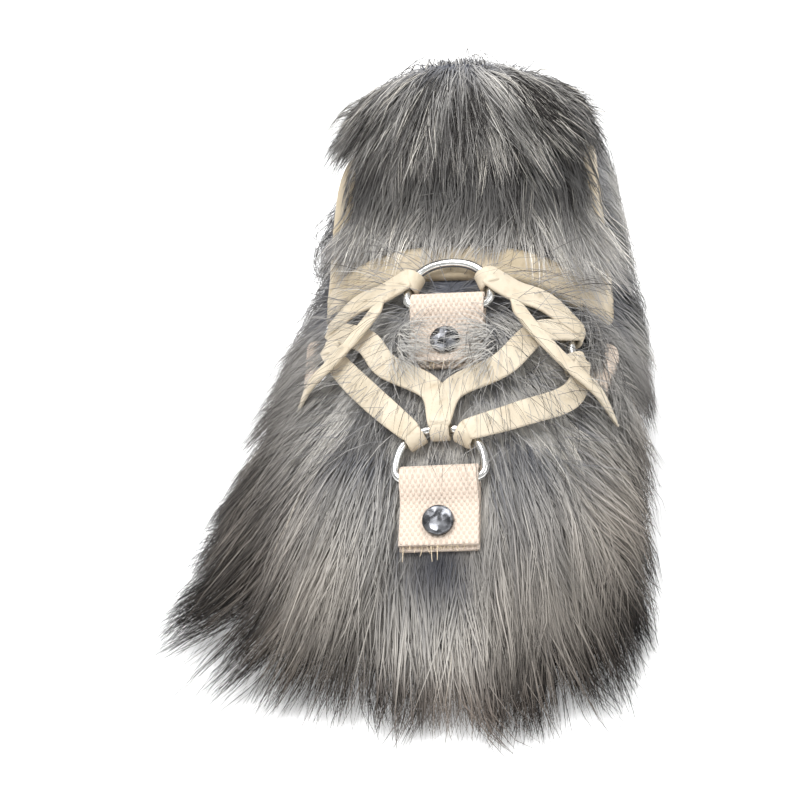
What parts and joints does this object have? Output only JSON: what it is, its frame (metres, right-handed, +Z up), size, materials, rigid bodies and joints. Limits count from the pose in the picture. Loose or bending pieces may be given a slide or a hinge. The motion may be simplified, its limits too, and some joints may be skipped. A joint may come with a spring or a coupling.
{
  "type": "fur clog",
  "caption": "Shaggy fur clog for the right foot: rubber sole, hollow fur upper and standing fur tongue, bound collar, flat lace through D-rings on riveted webbing tabs.",
  "frame": {"origin": "on the floor under the middle of the shoe's bounding box, measured without the lace's two free ends", "axes": "+Y from the toe to the heel, +X from the outer side of the foot to the inner side, +Z up"},
  "size_m": [0.16, 0.2934, 0.1494],
  "materials": {
    "rubber": "matte moulded rubber",
    "footbed": "smooth cloth",
    "fur": "long shaggy pile",
    "leather": "smooth matte leather",
    "webbing": "coarse woven webbing",
    "nickel": "polished nickel",
    "dark_nickel": "hammered dark nickel"
  },
  "bodies": {
    "root": {"outsole": "rubber", "insole": "footbed", "upper": "fur", "tongue": "fur", "collar_binding": "leather", "lower_tab": "webbing", "lower_ring": "nickel", "lower_rivet": "dark_nickel", "upper_tab": "webbing", "upper_ring": "nickel", "upper_rivet": "dark_nickel", "outer_tab": "webbing", "outer_ring": "nickel", "outer_rivet": "dark_nickel", "inner_tab": "webbing", "inner_ring": "nickel", "inner_rivet": "dark_nickel", "lace": "leather", "lace_end_outer": "leather", "lace_end_inner": "leather"}
  },
  "joints": []
}
